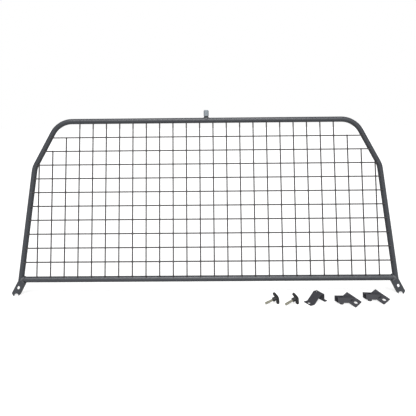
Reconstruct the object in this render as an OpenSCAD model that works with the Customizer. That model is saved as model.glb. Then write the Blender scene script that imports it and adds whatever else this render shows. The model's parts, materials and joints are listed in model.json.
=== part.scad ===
// Mesh cargo barrier for the load space of a utility vehicle, laid out as a kit.
// The panel stands upright on its two feet, across X. Its loose fittings lie on
// the same floor in front of it, towards -Y. All lengths are in millimetres.

/* [Panel frame] */
// Height between the centres of the bottom rail and the top rail
panel_h = 574; // [566:2:590]
// Centre of each leg at the bottom rail, from the middle of the panel
leg_foot_x = 682; // [674:1:690]
// Centre of each leg at its kink, from the middle of the panel
kink_x = 641; // [636:1:646]
// Height of the kink above the bottom rail
kink_h = 404; // [396:1:410]
// Where the leg's line meets the top rail's line, from the middle of the panel
shoulder_x = 554; // [550:1:558]
// Outer diameter of the frame tube
tube_d = 20; // [19:0.5:21]
// Wall of the frame tube
tube_wall = 1.6; // [1.2:0.1:2]
// Centreline radius of the bend between a leg and the top rail
shoulder_r = 80; // [60:5:90]
// Centreline radius of the slight bend at the kink
kink_r = 60; // [40:5:80]

/* [Mesh] */
// Distance between neighbouring upright wires
wire_pitch_x = 49.8; // [49.6:0.1:50]
// Distance between neighbouring level wires
wire_pitch_z = 50; // [49:0.5:50.5]
// Number of upright wires
upright_count = 26; // [22:2:26]
// Number of level wires
level_count = 10; // [9:1:10]
// Height of the lowest level wire above the bottom rail
first_level = 64; // [60:1:66]
// Diameter of the mesh wire
wire_d = 4.5; // [4:0.1:5]
// How far the upright wires stand in front of the frame's middle plane
upright_front = 5.5; // [5:0.1:6]

/* [Feet] */
// Height of the bottom rail's centre above the floor
rail_z = 53; // [51:1:55]
// Lean of each foot outwards from upright, in degrees
foot_splay = 27; // [24:1:28]
// Width of the foot channel
foot_w = 27; // [26:0.5:28]
// Depth of the foot channel, web and flanges together
foot_depth = 20; // [18:0.5:22]
// Thickness of the foot channel
foot_t = 3; // [2.5:0.1:3]
// Width of the fixing slot in the web
slot_w = 8.4; // [8.2:0.1:9.4]
// Overall length of the fixing slot
slot_len = 12; // [10:0.5:14]
// Middle of the slot, along the foot from its top end
slot_at = 23.5; // [22:0.5:26]
// Radius of the notch in the foot's lower end
notch_r = 8.5; // [7:0.5:9]

/* [Top post] */
// Diameter of the post's base
post_d = 16.5; // [14:0.5:17]
// Height of the bare base above the top rail
post_base_h = 7; // [6:0.5:10]
// Diameter of the cap
cap_d = 19; // [18:0.5:20]
// Height of the cap
cap_h = 22; // [20:0.5:23]
// Diameter of the spigot that the cap is pushed on to
spigot_d = 10; // [8:0.5:11]

/* [Clamp screws] */
// Thread diameter of the stud
stud_d = 8; // [8:1:8]
// Length of the stud in front of its washer
stud_len = 28.5; // [27:0.5:32]
// Diameter of the washer
washer_d = 14; // [13:0.5:16]
// Thickness of the washer
washer_t = 3; // [2:0.5:4]
// Reach of each handle arm from the screw's axis
arm_reach = 15.5; // [14.5:0.5:17]
// Thickness of the handle's arms
arm_t = 10.5; // [9:0.5:12]
// Sweep of each arm towards the stud, in degrees
arm_sweep = 20; // [15:1:22]
// Diameter of the handle's hub
hub_d = 13.5; // [12.5:0.5:14.5]
// Length of the hub between the washer and the arms
hub_len = 9; // [8:0.5:10]

/* [Top bracket] */
// Width of the strip
strip_w = 35.5; // [34:0.5:38]
// Thickness of the strip
strip_t = 2; // [1.8:0.1:2.5]
// Length of the front flange
hat_flange = 16.5; // [15.5:0.5:18]
// Level length that the sloping leg covers
hat_run = 29.5; // [27:0.5:31]
// Height of the bracket's top above the floor
hat_h = 27.5; // [25:0.5:29]
// Length of the top
hat_top = 16; // [15:0.5:18]
// Length of the rear flange
hat_rear = 13.5; // [12.5:0.5:15]
// Diameter of the bolt hole in the front flange
hat_hole_d = 9; // [8:0.1:9.5]
// Diameter of the small hole in the top
hat_small_d = 6.5; // [6:0.1:7]

/* [Lower brackets] */
// Width of the plate
plate_w = 35; // [34:0.5:36]
// Length of the plate
plate_len = 56; // [55:0.5:60]
// Thickness of the plate
plate_t = 4; // [3:0.1:4]
// Diameter of the bolt hole in the plate
plate_hole_d = 12.5; // [12:0.1:13.5]
// Side of the square tube
stub_w = 17.5; // [17:0.1:18.5]
// Wall of the square tube
stub_wall = 2; // [1.5:0.1:2.5]
// Across the flats of the weld nut
nut_af = 13; // [13:0.5:14]
// Height of the weld nut
nut_h = 6.5; // [6.5:0.5:7.5]

/* [Layout] */
// How far the nearest fitting's corner lies in front of the panel's middle plane
front_reach = 117.5; // [117.5:0.5:130]

/* [Hidden] */
$fn = 64;

graphite = [0.30, 0.31, 0.33];
wire_grey = [0.24, 0.25, 0.27];
weld_grey = [0.38, 0.39, 0.41];
bracket_grey = [0.22, 0.23, 0.25];
cap_grey = [0.60, 0.63, 0.67];
zinc = [0.76, 0.75, 0.68];
plastic_black = [0.06, 0.06, 0.07];

tube_r = tube_d / 2;
wire_r = wire_d / 2;
contact_gap = 0.02;   // parts that touch are kept this far apart
slip = 0.05;          // clearance of a part that slides or turns on another
overcut = 1;          // how far a cutter runs past the face it opens
past_all = 150;       // side of a cutter that has to run past a whole fitting
weld_r = 2.2;         // size of a weld bead
joint_gap = 0.05;     // hairline between neighbouring lengths of the bent tube
splice_half = 1;      // half the length of a splice
panel_y = (front_reach - tube_r) / 2;

// ---- Frame: drawn in the panel's plane, x across, y up, z towards the front ----

leg_end_drop = tube_r;
leg_slope = (leg_foot_x - kink_x) / kink_h;
leg_corners = [[leg_foot_x + leg_end_drop * leg_slope, -leg_end_drop],
    [kink_x, kink_h], [shoulder_x, panel_h]];
hoop_corners = concat(leg_corners,
    [for (i = [2:-1:0]) [-leg_corners[i][0], leg_corners[i][1]]]);
hoop_radii = [0, kink_r, shoulder_r, shoulder_r, kink_r, 0];

// A bent path is a list of corners with a bend radius for each
function heading(a, b) = atan2(b[1] - a[1], b[0] - a[0]);
function turn_at(path, i) = (heading(path[i], path[i + 1])
    - heading(path[i - 1], path[i]) + 540) % 360 - 180;
function has_bend(path, i) = i > 0 && i < len(path) - 1;
function bend_trim(path, radii, i) =
    has_bend(path, i) ? radii[i] * tan(abs(turn_at(path, i)) / 2) : 0;
function along(a, b, d) = a + d * [cos(heading(a, b)), sin(heading(a, b))];
function bend_from(path, i) =
    heading(path[i - 1], path[i]) - 90 * sign(turn_at(path, i));
function bend_centre(path, radii, i) =
    along(path[i], path[i - 1], bend_trim(path, radii, i))
    - radii[i] * [cos(bend_from(path, i)), sin(bend_from(path, i))];

module place_panel() {
    translate([0, panel_y, rail_z]) rotate([90, 0, 0]) children();
}

module rod(a, b, r, r_bore = 0) {
    translate([a[0], a[1], 0])
        rotate([0, 0, heading(a, b)])
            rotate([0, 90, 0])
                linear_extrude(norm(b - a))
                    tube_section(r, r_bore);
}

module tube_section(r, r_bore) {
    difference() {
        circle(r = r);
        if (r_bore > 0) circle(r = r_bore);
    }
}

// The bent tube is drawn as straight lengths and bends. Where two of them meet there
// is a hairline joint, and a splice inside the wall makes them one solid.
module hoop_length(i) {
    from = hoop_corners[i];
    to = hoop_corners[i + 1];
    a = along(from, to, bend_trim(hoop_corners, hoop_radii, i));
    b = along(to, from, bend_trim(hoop_corners, hoop_radii, i + 1));
    rod(i > 0 ? along(a, b, joint_gap) : a,
        i < len(hoop_corners) - 2 ? along(b, a, joint_gap) : b,
        tube_r, tube_r - tube_wall);
    if (i > 0) splice(a, b);
    if (i < len(hoop_corners) - 2) splice(b, a);
}

module splice(at, towards) {
    rod(along(at, towards, -splice_half), along(at, towards, splice_half),
        tube_r - joint_gap, tube_r - tube_wall + joint_gap);
}

module hoop_bend(i) {
    translate(bend_centre(hoop_corners, hoop_radii, i))
        rotate([0, 0, bend_from(hoop_corners, i)])
            rotate_extrude(angle = turn_at(hoop_corners, i))
                translate([hoop_radii[i], 0])
                    tube_section(tube_r, tube_r - tube_wall);
}

// The space of the lower leg on one side, run a little past its lower end
module leg_line(side, r, past = contact_gap) {
    foot = [side * leg_corners[0][0], leg_corners[0][1]];
    kink = [side * kink_x, kink_h];
    rod(along(foot, kink, -past), kink, r);
}

module rail_line(r, r_bore = 0) {
    rod([-leg_foot_x, 0], [leg_foot_x, 0], r, r_bore);
}

module frame_hoop() {
    color(graphite) place_panel() {
        for (i = [0 : len(hoop_corners) - 2]) hoop_length(i);
        for (i = [1 : len(hoop_corners) - 2]) hoop_bend(i);
    }
}

module bottom_rail() {
    color(graphite) place_panel()
        difference() {
            rail_line(tube_r, tube_r - tube_wall);
            for (side = [-1, 1]) leg_line(side, tube_r + contact_gap, tube_r);
        }
}

// A bead round the rail's end, in the corner against each leg
module rail_welds() {
    color(weld_grey) place_panel()
        for (side = [-1, 1])
            difference() {
                intersection() {
                    rod([side * (leg_foot_x - 2 * tube_d), 0],
                        [side * (leg_foot_x - weld_r), 0],
                        tube_r + weld_r, tube_r + contact_gap);
                    leg_line(side, tube_r + 2 * weld_r, tube_r);
                }
                leg_line(side, tube_r + contact_gap, tube_r);
            }
}

// ---- Mesh: each upright stops at the last level wire that still reaches it ----

cross_sink = 0.3;      // how far crossing wires are pressed into each other
level_front = upright_front + wire_d - cross_sink;
edge_clear = 13;       // an upright needs this much room inside the leg's line
wire_stub = 2.5;       // an upright's length beyond its last level wire
level_short = 5;       // a level wire ends this far inside the leg's line

function upright_x(i) = (i + 0.5 - upright_count / 2) * wire_pitch_x;
function level_y(j) = first_level + j * wire_pitch_z;
function leg_x(y) = y < kink_h
    ? leg_foot_x - y * leg_slope
    : kink_x - (y - kink_h) * (kink_x - shoulder_x) / (panel_h - kink_h);
function reaches(i, j) = leg_x(level_y(j)) - edge_clear > abs(upright_x(i));
function last_level(i, j = level_count - 1) =
    reaches(i, j) || j == 0 ? j : last_level(i, j - 1);
function meets_top(i) =
    abs(upright_x(i)) < shoulder_x - bend_trim(hoop_corners, hoop_radii, 2);
function upright_top(i) = meets_top(i) ? panel_h : level_y(last_level(i)) + wire_stub;

module vertical_wires() {
    color(wire_grey) place_panel()
        for (i = [0 : upright_count - 1])
            difference() {
                translate([0, 0, upright_front])
                    rod([upright_x(i), 0], [upright_x(i), upright_top(i)], wire_r);
                translate([upright_x(i) - tube_r, 0, 0])
                    rotate([0, 90, 0])
                        cylinder(r = tube_r + contact_gap, h = tube_d);
                translate([upright_x(i) - tube_r, panel_h, 0])
                    rotate([0, 90, 0])
                        cylinder(r = tube_r + contact_gap, h = tube_d);
            }
}

module horizontal_wires() {
    color(wire_grey) place_panel()
        for (j = [0 : level_count - 1]) {
            reach = leg_x(level_y(j)) - level_short;
            translate([0, 0, level_front])
                rod([-reach, level_y(j)], [reach, level_y(j)], wire_r);
        }
}

tack_r = 2.7;          // a tack weld, drawn as a small round bead
tack_sink = 1;         // how far its centre sits below the surfaces it joins
tack_every = 4;        // the rails' tacks come on every fourth upright
bottom_tack = 1;       // the first upright tacked to the bottom rail
top_tack = 3;          // the first upright tacked to the top rail

module tack(x, y, z) {
    translate([x, y, z]) sphere(r = tack_r);
}

module mesh_welds() {
    color(weld_grey) place_panel() {
        for (j = [0 : level_count - 1], side = [-1, 1])
            tack(side * (leg_x(level_y(j)) - level_short), level_y(j),
                level_front - tack_sink);
        for (i = [0 : upright_count - 1]) {
            if (i % tack_every == bottom_tack || i == 0)
                tack(upright_x(i), tube_r - 2 * tack_sink, upright_front);
            if (i % tack_every == top_tack && meets_top(i))
                tack(upright_x(i), panel_h - tube_r + 2 * tack_sink, upright_front);
        }
    }
}

// ---- Feet: a channel with its web in front of the leg, cut level at the floor ----

foot_top = [leg_foot_x - 7.3, -3.5];   // middle of the channel's upper end
foot_len = 80;                         // before the floor cuts it
foot_r = 2;                            // outer radius of the channel's bends
web_front = tube_r + contact_gap + foot_t;
notch_x = leg_foot_x + 10;             // middle of the notch
chamfer_at = [leg_foot_x + 27, 9.5];   // upper end of the corner cut, x and height
chamfer_lean = 34;

module channel_profile() {
    difference() {
        union() {
            translate([-foot_w / 2 + foot_r, -foot_depth])
                square([foot_w - 2 * foot_r, foot_depth]);
            translate([-foot_w / 2, -foot_depth])
                square([foot_w, foot_depth - foot_r]);
            for (s = [-1, 1])
                translate([s * (foot_w / 2 - foot_r), -foot_r]) circle(r = foot_r);
        }
        translate([-foot_w / 2 + foot_t, -foot_depth - overcut])
            square([foot_w - 2 * foot_t, foot_depth - foot_t + overcut]);
    }
}

// Moves to the foot's own lines: x along the foot, y across and outwards
module along_foot() {
    translate([foot_top[0], foot_top[1], web_front])
        rotate([0, 0, foot_splay - 90]) children();
}

module foot_channel() {
    along_foot()
        rotate([90, 0, 90])
            linear_extrude(foot_len) channel_profile();
}

module foot_slot() {
    half = (slot_len - slot_w) / 2;
    along_foot()
        translate([slot_at, 0, -foot_t - overcut]) {
            for (s = [-1, 1])
                translate([s * half, 0, 0])
                    cylinder(d = slot_w, h = foot_t + 2 * overcut);
            translate([-half, -slot_w / 2, 0])
                cube([2 * half, slot_w, foot_t + 2 * overcut]);
        }
}

module floor_cutter() {
    translate([leg_foot_x - foot_len, -rail_z - foot_len, -foot_len])
        cube([2 * foot_len, foot_len, 2 * foot_len]);
}

module foot(side) {
    color(graphite) place_panel()
        mirror([side < 0 ? 1 : 0, 0, 0])
            difference() {
                foot_channel();
                foot_slot();
                floor_cutter();
                translate([notch_x, -rail_z, web_front - foot_t - overcut])
                    cylinder(r = notch_r, h = foot_t + 2 * overcut);
                translate([chamfer_at[0], chamfer_at[1] - rail_z, -foot_len])
                    rotate([0, 0, -chamfer_lean])
                        translate([0, -foot_len / 2, 0])
                            cube([foot_len, foot_len, 2 * foot_len]);
                leg_line(1, tube_r + contact_gap);
                rail_line(tube_r + contact_gap);
            }
}

foot_bead_end = 4;     // the bead stops this far inside the channel's sides

// A bead along the web's upper edge, filling the corner against the tube
module foot_weld(side) {
    color(weld_grey) place_panel()
        mirror([side < 0 ? 1 : 0, 0, 0])
            difference() {
                along_foot()
                    translate([-contact_gap, 0, -foot_t])
                        rotate([90, 0, 0])
                            cylinder(r = weld_r, h = foot_w - 2 * foot_bead_end, center = true);
                along_foot()
                    translate([-contact_gap, -foot_w / 2, -foot_depth])
                        cube([foot_w, foot_w, foot_depth + overcut]);
                leg_line(1, tube_r + contact_gap);
                rail_line(tube_r + contact_gap);
            }
}

// ---- Top post: x, y across the tube and z up, from the top rail's centre ----

spigot_len = 15;
cap_round = 5;         // radius of the cap's top edge

module place_post() {
    translate([0, panel_y, rail_z + panel_h]) children();
}

module top_rail_cutter(r) {
    rotate([0, 90, 0]) cylinder(r = r, h = past_all, center = true);
}

module top_post() {
    color(graphite) place_post()
        difference() {
            union() {
                cylinder(d = post_d, h = tube_r + post_base_h);
                cylinder(d = spigot_d, h = tube_r + post_base_h + spigot_len);
            }
            top_rail_cutter(tube_r + contact_gap);
            translate([0, 0, -past_all / 2])
                cube(past_all, center = true);
        }
}

module post_weld() {
    color(weld_grey) place_post()
        difference() {
            intersection() {
                cylinder(d = post_d + 2 * weld_r, h = tube_d);
                top_rail_cutter(tube_r + weld_r);
            }
            cylinder(d = post_d + 2 * contact_gap, h = tube_d);
            top_rail_cutter(tube_r + contact_gap);
        }
}

module post_cap() {
    color(cap_grey) place_post()
        translate([0, 0, tube_r + post_base_h + contact_gap])
            rotate_extrude()
                difference() {
                    union() {
                        square([cap_d / 2, cap_h - cap_round]);
                        square([cap_d / 2 - cap_round, cap_h]);
                        translate([cap_d / 2 - cap_round, cap_h - cap_round])
                            circle(r = cap_round);
                    }
                    translate([-cap_d, 0])
                        square([cap_d, cap_h]);
                    translate([0, -overcut])
                        square([spigot_d / 2 + slip, spigot_len + slip + overcut]);
                }
}

// ---- Clamp screws: z runs along the stud from its tip to the handle ----

hub_start = stud_len + washer_t;
bar_z = hub_start + hub_len + arm_t / 2;
arm_end_z = bar_z - arm_reach * sin(arm_sweep);
arm_end_x = arm_reach * cos(arm_sweep);
stud_bed = 8;          // length of stud held in the handle
tip_chamfer = 1;
rim_to_arm = [arm_end_x - stud_d / 2, arm_end_z - tip_chamfer];
screw_tilt = atan(rim_to_arm[0] / rim_to_arm[1]) + asin(arm_t / 2 / norm(rim_to_arm));
screw_places = [[196.5, -90, 6], [263.3, -98.5, 14]];   // tip x, tip y from the panel, turn

module place_screw(n) {
    spot = screw_places[n];
    rise = stud_d / 2 * cos(screw_tilt) - tip_chamfer * sin(screw_tilt);
    translate([spot[0], panel_y + spot[1], rise])
        rotate([0, 90 - screw_tilt, spot[2]]) children();
}

// The swept bar's outline: its ridge, one round end, the hollow and the other end
end_steps = 12;        // flats that round each end of the bar
right_end = [for (k = [0 : end_steps])
    let (at = 90 - arm_sweep - 180 * k / end_steps)
    [arm_end_x + arm_t / 2 * cos(at), arm_end_z + arm_t / 2 * sin(at)]];
left_end = [for (k = [end_steps : -1 : 0]) [-right_end[k][0], right_end[k][1]]];
ridge_rise = arm_t / 2 / cos(arm_sweep);

module handle_bar() {
    rotate([90, 0, 0])
        linear_extrude(arm_t, center = true)
            polygon(concat([[0, bar_z + ridge_rise]], right_end,
                [[0, bar_z - ridge_rise]], left_end));
}

module screw_handle(n) {
    color(plastic_black) place_screw(n)
        difference() {
            union() {
                translate([0, 0, hub_start + contact_gap])
                    cylinder(d = hub_d, h = hub_len + arm_t / 2);
                handle_bar();
            }
            translate([0, 0, hub_start - overcut])
                cylinder(d = stud_d + 2 * contact_gap, h = stud_bed + overcut + contact_gap);
        }
}

module screw_stud(n) {
    color(zinc) place_screw(n) {
        translate([0, 0, tip_chamfer])
            cylinder(d = stud_d, h = hub_start + stud_bed - tip_chamfer);
        cylinder(d1 = stud_d - 2 * tip_chamfer, d2 = stud_d, h = tip_chamfer);
    }
}

module screw_washer(n) {
    color(plastic_black) place_screw(n)
        translate([0, 0, stud_len])
            difference() {
                cylinder(d = washer_d, h = washer_t - contact_gap);
                translate([0, 0, -overcut])
                    cylinder(d = stud_d + 2 * slip, h = washer_t + 2 * overcut);
            }
}

// ---- Top bracket: x runs over the hat, y across the strip, z up ----

hat_place = [331, -72.5, 29];      // first corner x, y from the panel, turn
strip_inner_r = 1;                 // inner radius of the strip's bends
strip_bend_r = strip_inner_r + strip_t / 2;
hat_line = [[0, strip_t / 2], [hat_flange, strip_t / 2],
    [hat_flange + hat_run, hat_h - strip_t / 2],
    [hat_flange + hat_run + hat_top, hat_h - strip_t / 2],
    [hat_flange + hat_run + hat_top, strip_t / 2],
    [hat_flange + hat_run + hat_top + hat_rear, strip_t / 2]];
hat_radii = [for (corner = hat_line) strip_bend_r];

bend_steps = 6;                    // flats that round each bend of the strip
hat_small_at = 7.5;                // the small hole, from the strip's rear edge

// One edge of a bent strip: side 1 is its left edge along the path, -1 its right edge
function strip_edge(path, radii, side) = concat(
    [path[0] + [0, side * strip_t / 2]],
    [for (i = [1 : len(path) - 2], k = [0 : bend_steps])
        let (r = radii[i] - side * sign(turn_at(path, i)) * strip_t / 2,
            at = bend_from(path, i) + turn_at(path, i) * k / bend_steps)
        bend_centre(path, radii, i) + r * [cos(at), sin(at)]],
    [path[len(path) - 1] + [0, side * strip_t / 2]]);
function reversed(list) = [for (i = [len(list) - 1 : -1 : 0]) list[i]];

module hat_profile() {
    polygon(concat(strip_edge(hat_line, hat_radii, 1),
        reversed(strip_edge(hat_line, hat_radii, -1))));
}

module top_bracket() {
    color(bracket_grey)
        translate([hat_place[0], panel_y + hat_place[1], 0])
            rotate([0, 0, hat_place[2]])
                difference() {
                    rotate([90, 0, 0])
                        linear_extrude(strip_w) hat_profile();
                    translate([hat_flange / 2, -strip_w / 2, -overcut])
                        cylinder(d = hat_hole_d, h = strip_t + 2 * overcut);
                    translate([hat_flange + hat_run + hat_top / 2, -hat_small_at,
                            hat_h - strip_t - overcut])
                        cylinder(d = hat_small_d, h = strip_t + 2 * overcut);
                }
}

// ---- Lower brackets: x along the square tube, z up, from the plate's front corner ----

plate_tilt = 21;       // the plate leans up towards the back
plate_skew = 40.5;     // the plate's short edge, from the tube's axis
plate_hole_at = 11;    // the hole, from the plate's front end
stub_y = 20;           // the tube's front face
stub_free = 52;        // the tube's front free end, from the plate's corner
stub_mitre = 23.5;     // the free end's mitre
stub_inner_top = 0.5;  // the other end at its top
stub_inner_foot = 18;  // the other end at its foot
bolt_hole_d = 9;       // the hole over the nut
nut_at = 38.5;         // the nut's axis, from the plate's corner
nut_bore_d = 6.8;      // the nut's thread, drawn at its core diameter
nut_sides = 6;
bead_end = 8;          // where the weld behind the tube ends, from the plate's corner
bead_len = 24;         // length of that weld
bracket_places = [[494, -117.5, -1.5], [596.5, -97, -6]];

module place_bracket(n) {
    spot = bracket_places[n];
    translate([spot[0], panel_y + spot[1], 0])
        rotate([0, 0, spot[2]]) children();
}

module on_plate() {
    rotate([plate_tilt, 0, 0])
        rotate([0, 0, plate_skew]) children();
}

module bracket_plate(n) {
    color(bracket_grey) place_bracket(n)
        on_plate()
            difference() {
                cube([plate_w, plate_len, plate_t]);
                translate([plate_w / 2, plate_hole_at, -overcut])
                    cylinder(d = plate_hole_d, h = plate_t + 2 * overcut);
            }
}

// The space that the plate's footprint takes, down through the tube
module plate_cutter() {
    on_plate()
        translate([0, 0, -past_all])
            cube([plate_w, plate_len, past_all + plate_t + contact_gap]);
}

module stub_block(inset) {
    translate([-past_all, stub_y + inset, nut_h + inset])
        cube([past_all, stub_w - 2 * inset, stub_w - 2 * inset]);
}

module free_end_cutter() {
    translate([-stub_free, stub_y, 0])
        rotate([0, 0, stub_mitre])
            translate([-past_all, -past_all / 2, -overcut])
                cube(past_all);
}

module inner_end_cutter() {
    lean = atan((stub_inner_foot - stub_inner_top) / stub_w);
    translate([-stub_inner_foot, 0, nut_h])
        rotate([0, lean, 0])
            translate([0, -overcut, -past_all / 2])
                cube(past_all);
}

module stub_solid(inset) {
    difference() {
        stub_block(inset);
        plate_cutter();
        free_end_cutter();
        inner_end_cutter();
    }
}

module bracket_tube(n) {
    color(bracket_grey) place_bracket(n)
        difference() {
            stub_solid(0);
            stub_block(stub_wall);
            translate([-nut_at, stub_y + stub_w / 2, 0])
                cylinder(d = bolt_hole_d, h = past_all);
        }
}

module bracket_nut(n) {
    color(zinc) place_bracket(n)
        translate([-nut_at, stub_y + stub_w / 2, 0])
            difference() {
                cylinder(d = nut_af / cos(180 / nut_sides), h = nut_h - contact_gap,
                    $fn = nut_sides);
                translate([0, 0, -overcut])
                    cylinder(d = nut_bore_d, h = nut_h + 2 * overcut);
            }
}

// A bead on the plate along the tube's rear face
module bracket_weld(n) {
    rear = stub_y + stub_w;
    seam_z = rear * tan(plate_tilt) + plate_t / cos(plate_tilt);
    color(weld_grey) place_bracket(n)
        difference() {
            translate([-bead_end - bead_len, rear, seam_z])
                rotate([0, 90, 0])
                    cylinder(r = weld_r, h = bead_len);
            plate_cutter();
            stub_block(-contact_gap);
        }
}

frame_hoop();
bottom_rail();
vertical_wires();
horizontal_wires();
mesh_welds();
rail_welds();
foot(-1);  // left_foot
foot(1);  // right_foot
foot_weld(-1);  // left_foot_weld
foot_weld(1);  // right_foot_weld
top_post();
post_weld();
post_cap();
screw_handle(0);  // screw_handle_1
screw_stud(0);  // screw_stud_1
screw_washer(0);  // screw_washer_1
screw_handle(1);  // screw_handle_2
screw_stud(1);  // screw_stud_2
screw_washer(1);  // screw_washer_2
top_bracket();
bracket_plate(0);  // bracket_plate_1
bracket_tube(0);  // bracket_tube_1
bracket_nut(0);  // bracket_nut_1
bracket_weld(0);  // bracket_weld_1
bracket_plate(1);  // bracket_plate_2
bracket_tube(1);  // bracket_tube_2
bracket_nut(1);  // bracket_nut_2
bracket_weld(1);  // bracket_weld_2
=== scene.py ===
"""Looks for the mesh cargo barrier kit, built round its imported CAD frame. Metres, +Z up."""

import json
import math

import bmesh
import bpy
from mathutils import Matrix, Vector

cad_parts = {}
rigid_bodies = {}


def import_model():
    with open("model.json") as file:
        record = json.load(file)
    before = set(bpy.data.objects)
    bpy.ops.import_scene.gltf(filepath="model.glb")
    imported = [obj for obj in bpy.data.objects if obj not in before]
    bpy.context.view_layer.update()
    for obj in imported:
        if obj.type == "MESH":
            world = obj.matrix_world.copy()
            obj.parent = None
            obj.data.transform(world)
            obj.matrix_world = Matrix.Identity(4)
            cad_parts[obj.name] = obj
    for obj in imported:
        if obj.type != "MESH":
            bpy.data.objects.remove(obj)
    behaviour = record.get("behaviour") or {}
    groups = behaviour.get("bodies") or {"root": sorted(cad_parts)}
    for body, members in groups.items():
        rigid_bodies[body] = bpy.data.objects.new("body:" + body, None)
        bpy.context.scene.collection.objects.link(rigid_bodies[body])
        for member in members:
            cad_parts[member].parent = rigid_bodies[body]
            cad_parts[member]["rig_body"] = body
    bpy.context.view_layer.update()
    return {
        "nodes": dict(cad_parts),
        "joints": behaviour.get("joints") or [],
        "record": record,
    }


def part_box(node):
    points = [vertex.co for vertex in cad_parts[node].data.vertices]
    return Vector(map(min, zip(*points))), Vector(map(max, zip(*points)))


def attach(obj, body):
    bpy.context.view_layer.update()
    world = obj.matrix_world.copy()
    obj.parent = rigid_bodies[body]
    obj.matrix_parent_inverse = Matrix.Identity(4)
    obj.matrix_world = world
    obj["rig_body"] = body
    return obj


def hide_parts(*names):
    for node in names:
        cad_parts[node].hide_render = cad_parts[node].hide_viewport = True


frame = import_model()
nodes = frame["nodes"]
joints = {joint["name"]: joint for joint in frame["joints"]}
slot_of = {part["node"]: part["material_slot"] for part in frame["record"]["subparts"]}

MM = 0.001
WHITE = (1, 1, 1, 1)


# ---- Node helpers ----

def new_material(name):
    """A material with its node tree, its Principled shader and its coordinates in metres."""
    mat = bpy.data.materials.new(name)
    mat.use_nodes = True
    tree = mat.node_tree
    shader = tree.nodes["Principled BSDF"]
    place = tree.nodes.new("ShaderNodeTexCoord")
    return mat, tree, shader, place.outputs["Object"]


def noise(tree, where, scale, detail=2.0):
    node = tree.nodes.new("ShaderNodeTexNoise")
    node.inputs["Scale"].default_value = scale
    node.inputs["Detail"].default_value = detail
    tree.links.new(where, node.inputs["Vector"])
    return node.outputs["Fac"]


def ramp(tree, value, low, high, start=0.0, end=1.0):
    """Maps a value between start and end to a number from low to high."""
    node = tree.nodes.new("ShaderNodeMapRange")
    node.inputs["From Min"].default_value = start
    node.inputs["From Max"].default_value = end
    node.inputs["To Min"].default_value = low
    node.inputs["To Max"].default_value = high
    tree.links.new(value, node.inputs["Value"])
    return node.outputs["Result"]


def multiply(tree, first, second):
    node = tree.nodes.new("ShaderNodeMath")
    node.operation = "MULTIPLY"
    tree.links.new(first, node.inputs[0])
    tree.links.new(second, node.inputs[1])
    return node.outputs["Value"]


def mix_colour(tree, factor, dark, light):
    node = tree.nodes.new("ShaderNodeMix")
    node.data_type = "RGBA"
    node.inputs["A"].default_value = (*dark, 1.0)
    node.inputs["B"].default_value = (*light, 1.0)
    tree.links.new(factor, node.inputs["Factor"])
    return node.outputs["Result"]


def add_bump(tree, shader, height, distance):
    """Raises the surface by a height map from 0 to 1; distance is in metres."""
    node = tree.nodes.new("ShaderNodeBump")
    node.inputs["Strength"].default_value = 0.5
    node.inputs["Distance"].default_value = distance
    tree.links.new(height, node.inputs["Height"])
    tree.links.new(node.outputs["Normal"], shader.inputs["Normal"])


# ---- Materials: each has a dark and a light tone, and a lowest and highest roughness ----

SATIN = (0.34, 0.46)
MATT = (0.45, 0.60)
PLASTIC = (0.50, 0.64)
PLATED = (0.42, 0.60)


def powder_coat(name, dark, light, roughness=SATIN):
    """Powder coat: a fine orange peel, with a faint drift in tone and gloss."""
    mat, tree, shader, where = new_material(name)
    tone = noise(tree, where, scale=35.0, detail=3.0)
    tree.links.new(mix_colour(tree, tone, dark, light), shader.inputs["Base Color"])
    gloss = noise(tree, where, scale=120.0)
    tree.links.new(ramp(tree, gloss, *roughness), shader.inputs["Roughness"])
    peel = noise(tree, where, scale=900.0)
    add_bump(tree, shader, peel, distance=0.12 * MM)
    return mat


def zinc_plate(name, dark, light):
    """Passivated zinc: a faint yellow cast that comes and goes, and uneven gloss."""
    mat, tree, shader, where = new_material(name)
    tone = noise(tree, where, scale=260.0, detail=3.0)
    tree.links.new(mix_colour(tree, tone, dark, light), shader.inputs["Base Color"])
    shader.inputs["Metallic"].default_value = 0.35
    gloss = noise(tree, where, scale=700.0)
    tree.links.new(ramp(tree, gloss, *PLATED), shader.inputs["Roughness"])
    return mat


def moulded_plastic(name, dark, light):
    """Moulded plastic with a fine grain, and a faint drift in tone and gloss."""
    mat, tree, shader, where = new_material(name)
    tone = noise(tree, where, scale=60.0)
    tree.links.new(mix_colour(tree, tone, dark, light), shader.inputs["Base Color"])
    gloss = noise(tree, where, scale=200.0)
    tree.links.new(ramp(tree, gloss, *PLASTIC), shader.inputs["Roughness"])
    grain = noise(tree, where, scale=1500.0, detail=1.0)
    add_bump(tree, shader, grain, distance=0.06 * MM)
    return mat


FINISH = {
    "graphite": powder_coat("frame_coat", (0.034, 0.037, 0.044), (0.045, 0.049, 0.057)),
    "wire": powder_coat("wire_coat", (0.022, 0.019, 0.020), (0.034, 0.029, 0.031), MATT),
    # The weld tone is lighter than the frame coat: a painted highlight on the weld beads.
    "weld": powder_coat("weld_coat_painted_highlight", (0.050, 0.052, 0.058), (0.090, 0.092, 0.098)),
    "bracket": powder_coat("bracket_coat", (0.038, 0.038, 0.045), (0.050, 0.050, 0.058), MATT),
    "cap": moulded_plastic("cap_plastic", (0.21, 0.24, 0.26), (0.27, 0.30, 0.33)),
    "handle": moulded_plastic("handle_plastic", (0.005, 0.005, 0.0055), (0.009, 0.009, 0.010)),
    "zinc": zinc_plate("zinc_plate", (0.26, 0.255, 0.20), (0.38, 0.37, 0.30)),
}


def paint(obj, mat):
    obj.data.materials.clear()
    obj.data.materials.append(mat)


# ---- CAD nodes that stay in view: their own meshes, with modifiers for edges and welds ----

SHEET_EDGE = 0.5 * MM           # bevel on bent, cut and ground steel
NUT_EDGE = 0.35 * MM
BENT_OR_CUT = ("top_bracket", "bracket_plate", "bracket_tube", "left_foot", "right_foot")


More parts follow.
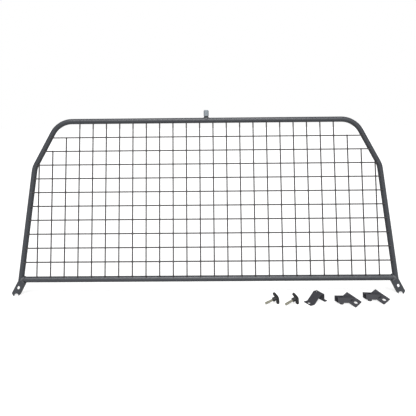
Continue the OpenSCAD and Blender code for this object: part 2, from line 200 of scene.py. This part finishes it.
def soften_edges(obj, width):
    """Rounds a flat-sided part's sharp edges, as bending, grinding and paint leave them."""
    weld = obj.modifiers.new("join_faces", "WELD")
    weld.merge_threshold = 0.01 * MM
    flat = obj.modifiers.new("flat_faces", "DECIMATE")
    flat.decimate_type = "DISSOLVE"
    flat.angle_limit = math.radians(0.5)
    bevel = obj.modifiers.new("soft_edges", "BEVEL")
    bevel.width = width
    bevel.segments = 2
    bevel.limit_method = "ANGLE"
    bevel.angle_limit = math.radians(35)
    bevel.use_clamp_overlap = True
    normals = obj.modifiers.new("normals", "WEIGHTED_NORMAL")
    normals.keep_sharp = False
    obj.data.shade_smooth()


def remesh_evenly(obj, name, voxel):
    remesh = obj.modifiers.new(name, "REMESH")
    remesh.mode = "VOXEL"
    remesh.voxel_size = voxel
    remesh.use_smooth_shade = True


def smooth_out(obj, name, factor, iterations):
    smooth = obj.modifiers.new(name, "SMOOTH")
    smooth.factor = factor
    smooth.iterations = iterations


def roughen_weld(obj):
    """Turns a smooth bead into the uneven surface that a weld pool leaves."""
    remesh_evenly(obj, "even_mesh", voxel=0.45 * MM)
    clouds = bpy.data.textures.new(obj.name + "_ripple", "CLOUDS")
    clouds.noise_scale = 2.2 * MM
    ripple = obj.modifiers.new("ripple", "DISPLACE")
    ripple.texture = clouds
    ripple.strength = 0.5 * MM
    ripple.mid_level = 0.62     # above the middle, so that more of the bead sinks than rises
    smooth_out(obj, "settle", factor=0.5, iterations=2)


for name, obj in nodes.items():
    paint(obj, FINISH[slot_of[name]])
    kind = name.removesuffix("_1").removesuffix("_2")
    if kind in BENT_OR_CUT:
        soften_edges(obj, SHEET_EDGE)
    elif kind == "bracket_nut":
        soften_edges(obj, NUT_EDGE)
    elif slot_of[name] == "weld":
        roughen_weld(obj)


# ---- Clamp screws: built on each screw's own axes, which its joint gives ----

ROUND_STEPS = 48                # sides of a turned form

THREAD_DEPTH = 0.72 * MM
THREAD_CHAMFER = 1.0 * MM       # at the stud's tip
THREAD_SIDES = 36
ROWS_A_TURN = 10
CREST, FLANKS = 0.12, 0.72      # shares of the pitch; the rest is the root
SHANK_INSET = 0.1 * MM

WASHER_RIM = 0.8 * MM
WASHER_PLAY = 0.05 * MM
RIM_STEPS = 4                   # along each rounded rim

SECTION_POWER = 5.0
SECTION_STEPS = 32
BAR_STEPS = 36
BAR_BEND = 2.5 * MM             # how softly the bar bends at its ridge
BAR_TAPER = 0.02
BAR_LENGTH = 0.995              # share of the CAD bar's length
BLUNT_TIP = 0.05                # smallest share of the section's height, at the tips
TIP_DEPTH = 0.6                 # share of the section's depth that the tips keep
HUB_EDGE = 0.5 * MM
HUB_FOOT, HUB_WAIST, HUB_TOP = 0.97, 0.95, 0.80


def screw_axes(number):
    """The screw's own frame: z along the stud from its tip to the handle, x down, y level."""
    joint = joints[f"screw_{number}_turn"]
    along = Vector(joint["axis"]).normalized()
    level = Vector((0, 0, 1)).cross(along).normalized()
    axes = Matrix((level.cross(along), level, along)).transposed().to_4x4()
    return Matrix.Translation(Vector(joint["pos_m"])) @ axes


def local_points(node, axes):
    """A CAD node's vertices, on these axes."""
    to_local = axes.inverted()
    return [to_local @ vertex.co for vertex in nodes[node].data.vertices]


def round_sizes(node, axes):
    """A turned CAD node's lowest and highest place along its axis, and its radius."""
    points = local_points(node, axes)
    return min(p.z for p in points), max(p.z for p in points), max(p.y for p in points)


def at_turn(radius, turn, height):
    """A point at this radius and height, this share of a turn round z."""
    angle = 2 * math.pi * turn
    return radius * math.cos(angle), radius * math.sin(angle), height


def add_rings(mesh, rings, closed_ends=True):
    """Skins a list of rings of points, each with the same number of points."""
    made = [[mesh.verts.new(point) for point in ring] for ring in rings]
    count = len(rings[0])
    for low, high in zip(made, made[1:]):
        for i in range(count):
            j = (i + 1) % count
            mesh.faces.new((low[i], low[j], high[j], high[i]))
    if closed_ends:
        mesh.faces.new(reversed(made[0]))
        mesh.faces.new(made[-1])


def add_turned(mesh, profile):
    """Turns a profile of (radius, height) points round z."""
    turns = [k / ROUND_STEPS for k in range(ROUND_STEPS)]
    add_rings(mesh, [[at_turn(r, turn, z) for turn in turns] for r, z in profile])


def new_piece(name, mesh, axes, node, slot_name):
    """Puts a bmesh in place of one CAD node, on that node's body."""
    data = bpy.data.meshes.new(name)
    bmesh.ops.recalc_face_normals(mesh, faces=mesh.faces)
    mesh.transform(axes)
    mesh.to_mesh(data)
    mesh.free()
    data.shade_smooth()
    piece = bpy.data.objects.new(name, data)
    bpy.context.scene.collection.objects.link(piece)
    paint(piece, FINISH[slot_name])
    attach(piece, nodes[node]["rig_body"])
    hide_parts(node)
    return piece


def thread_pitch(number):
    """How far the screw travels in one turn."""
    travel = joints[f"screw_{number}_travel"]["range_m"][1]
    turns = joints[f"screw_{number}_turn"]["range_deg"][1] / 360
    return travel / turns


def below_crest(turns):
    """How far the surface lies below the crest, as a share of the thread's depth."""
    phase = abs(turns % 1.0 - 0.5) * 2
    return min(max((phase - CREST) / FLANKS, 0.0), 1.0)


def make_stud(number, axes):
    """The zinc-plated stud with a real helical thread in front of the washer."""
    node = f"screw_stud_{number}"
    tip, back, radius = round_sizes(node, axes)
    thread_end = round_sizes(f"screw_washer_{number}", axes)[0]
    pitch = thread_pitch(number)
    rows = round((thread_end - tip) / pitch * ROWS_A_TURN)
    turns = [k / THREAD_SIDES for k in range(THREAD_SIDES)]
    rings = []
    for row in range(rows + 1):
        z = tip + (thread_end - tip) * row / rows
        chamfered = radius - max(0.0, THREAD_CHAMFER - (z - tip))
        cut = [radius - THREAD_DEPTH * below_crest(z / pitch - turn) for turn in turns]
        rings.append([at_turn(min(chamfered, r), turn, z) for r, turn in zip(cut, turns)])
    for z in (thread_end, back):
        rings.append([at_turn(radius - SHANK_INSET, turn, z) for turn in turns])
    mesh = bmesh.new()
    add_rings(mesh, rings)
    new_piece(f"threaded_stud_{number}", mesh, axes, node, "zinc")


def make_washer(number, axes):
    """The flange under the handle, with rounded rims."""
    node = f"screw_washer_{number}"
    low, high, outer = round_sizes(node, axes)
    inner = round_sizes(f"screw_stud_{number}", axes)[2] + WASHER_PLAY
    rim = WASHER_RIM
    arc = [k * math.pi / 2 / RIM_STEPS for k in range(RIM_STEPS + 1)]
    top = [(outer - rim + rim * math.cos(a), high - rim + rim * math.sin(a)) for a in arc]
    bottom = [(outer - rim + rim * math.sin(a), low + rim - rim * math.cos(a)) for a in arc]
    loop = [(inner, low)] + bottom + top + [(inner, high)]
    rings = [[at_turn(r, k / ROUND_STEPS, z) for r, z in loop] for k in range(ROUND_STEPS)]
    mesh = bmesh.new()
    add_rings(mesh, rings + rings[:1], closed_ends=False)
    bmesh.ops.remove_doubles(mesh, verts=mesh.verts, dist=0.001 * MM)
    new_piece(f"flange_washer_{number}", mesh, axes, node, "handle")


def bar_section(half_x, half_y):
    """A rectangle with well-rounded corners, as a superellipse."""
    points = []
    for k in range(SECTION_STEPS):
        a = 2 * math.pi * k / SECTION_STEPS
        c, s = math.cos(a), math.sin(a)
        points.append((math.copysign(abs(c) ** (2 / SECTION_POWER), c) * half_x,
                       math.copysign(abs(s) ** (2 / SECTION_POWER), s) * half_y))
    return points


def handle_sizes(node, axes):
    """The hub's radius, half the bar's thickness, its ridge, its sweep and its half length."""
    points = local_points(node, axes)
    hub_r = max(abs(p.y) for p in points)
    arm = [p for p in points if p.x > hub_r]
    ridge = max(p.z for p in points)
    sweep = min(math.atan2(ridge - p.z, p.x) for p in arm)
    return hub_r, max(p.y for p in arm), ridge, sweep, max(p.x for p in arm)


def add_bar(mesh, half, apex, sweep, reach):
    """The handle's bar: it sweeps back on both sides of its apex, to blunt, rounded tips."""
    rings = []
    for i in range(BAR_STEPS + 1):
        along = -1 + 2 * i / BAR_STEPS
        x = along * reach * BAR_LENGTH
        near_tip = min(1.0, (1 - abs(along)) * reach / half)
        round_off = max(math.sqrt(1 - (1 - near_tip) ** 2), BLUNT_TIP)
        arc = math.hypot(x, BAR_BEND)
        centre_z = apex - math.tan(sweep) * (arc - BAR_BEND)
        out = Vector((math.tan(sweep) * x / arc, 0, 1)).normalized()
        tapered = half * (1 - BAR_TAPER * abs(along))
        deep = tapered * (TIP_DEPTH + (1 - TIP_DEPTH) * round_off)
        section = bar_section(tapered * round_off, deep)
        rings.append([Vector((x, b, centre_z)) + out * a for a, b in section])
    add_rings(mesh, rings)


def make_handle(number, axes):
    """The moulded T-handle: a swept bar on a waisted hub, in one skin."""
    node = f"screw_handle_{number}"
    hub_r, half, ridge, sweep, reach = handle_sizes(node, axes)
    foot = round_sizes(node, axes)[0]
    apex = ridge - half / math.cos(sweep)
    mesh = bmesh.new()
    add_bar(mesh, half, apex, sweep, reach)
    add_turned(mesh, [(hub_r * HUB_FOOT, foot), (hub_r, foot + HUB_EDGE),
                      (hub_r * HUB_WAIST, (foot + apex) / 2), (hub_r * HUB_TOP, apex)])
    piece = new_piece(f"t_handle_{number}", mesh, axes, node, "handle")
    remesh_evenly(piece, "one_skin", voxel=0.4 * MM)
    smooth_out(piece, "mould_fillets", factor=0.6, iterations=3)


for number in (1, 2):
    axes = screw_axes(number)
    make_stud(number, axes)
    make_washer(number, axes)
    make_handle(number, axes)


# ---- Stage, lights and camera ----

def make_floor():
    """A wide pale floor that looks white to the camera and bounces little light."""
    half = 30.0
    mesh = bpy.data.meshes.new("floor")
    corners = [(-half, -half, 0), (half, -half, 0), (half, half, 0), (-half, half, 0)]
    mesh.from_pydata(corners, [], [(0, 1, 2, 3)])
    floor = bpy.data.objects.new("floor", mesh)
    bpy.context.scene.collection.objects.link(floor)
    mat, tree, shader, where = new_material("floor_paint")
    tone = noise(tree, where, scale=3.0)
    tree.links.new(mix_colour(tree, tone, dark=(0.40, 0.40, 0.40), light=(0.43, 0.43, 0.43)),
                   shader.inputs["Base Color"])
    shader.inputs["Roughness"].default_value = 0.9
    shader.inputs["Specular IOR Level"].default_value = 0.1
    shader.inputs["Emission Color"].default_value = WHITE
    path = tree.nodes.new("ShaderNodeLightPath")
    tree.links.new(ramp(tree, path.outputs["Is Camera Ray"], low=0.22, high=0.80),
                   shader.inputs["Emission Strength"])
    paint(floor, mat)


def white_background(tree):
    node = tree.nodes.new("ShaderNodeBackground")
    node.inputs["Color"].default_value = WHITE
    return node


def make_world():
    """A white studio: plain white to the camera, and light that is strongest from above."""
    world = bpy.data.worlds.new("studio")
    bpy.context.scene.world = world
    world.use_nodes = True
    tree = world.node_tree
    tree.nodes.clear()
    out = tree.nodes.new("ShaderNodeOutputWorld")
    mix = tree.nodes.new("ShaderNodeMixShader")
    path = tree.nodes.new("ShaderNodeLightPath")
    seen = white_background(tree)
    lit = white_background(tree)
    place = tree.nodes.new("ShaderNodeTexCoord")
    split = tree.nodes.new("ShaderNodeSeparateXYZ")
    tree.links.new(place.outputs["Generated"], split.inputs["Vector"])
    height = ramp(tree, split.outputs["Z"], low=0.30, high=0.90, start=0.0, end=0.6)
    front = ramp(tree, split.outputs["Y"], low=1.0, high=0.12, start=-0.5, end=0.2)
    tree.links.new(multiply(tree, height, front), lit.inputs["Strength"])
    tree.links.new(path.outputs["Is Camera Ray"], mix.inputs["Fac"])
    tree.links.new(lit.outputs["Background"], mix.inputs[1])
    tree.links.new(seen.outputs["Background"], mix.inputs[2])
    tree.links.new(mix.outputs["Shader"], out.inputs["Surface"])


def make_sun(name, direction, strength, soft_angle):
    """A distant soft light that shines along direction."""
    data = bpy.data.lights.new(name, "SUN")
    data.energy = strength
    data.angle = math.radians(soft_angle)
    light = bpy.data.objects.new(name, data)
    light.rotation_euler = Vector(direction).to_track_quat("-Z", "Y").to_euler()
    bpy.context.scene.collection.objects.link(light)


def make_camera(panel_y, rail_z):
    """Stands in front of the panel, a little right of its middle, looking slightly up."""
    distance, above_rail, right = 1.5, 0.576, 0.020
    pitch, yaw, roll = math.radians(4.3), math.radians(0.47), math.radians(0.54)
    data = bpy.data.cameras.new("camera")
    data.sensor_width = 36.0
    data.lens = 34.5
    data.shift_y = -0.284
    data.clip_start = 0.01
    data.clip_end = 100.0
    camera = bpy.data.objects.new("camera", data)
    camera.matrix_world = (Matrix.Translation((right, panel_y - distance, rail_z + above_rail))
                           @ Matrix.Rotation(yaw, 4, "Z")
                           @ Matrix.Rotation(math.pi / 2 + pitch, 4, "X")
                           @ Matrix.Rotation(-roll, 4, "Z"))
    bpy.context.scene.collection.objects.link(camera)
    bpy.context.scene.camera = camera


make_floor()
make_world()
make_sun("key", direction=(0.05, 0.6, -1.0), strength=2.4, soft_angle=34)
make_sun("front", direction=(-0.1, 1.0, -0.25), strength=0.75, soft_angle=30)
rail_low, rail_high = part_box("bottom_rail")
make_camera((rail_low.y + rail_high.y) / 2, (rail_low.z + rail_high.z) / 2)
bpy.context.scene.view_settings.view_transform = "Standard"
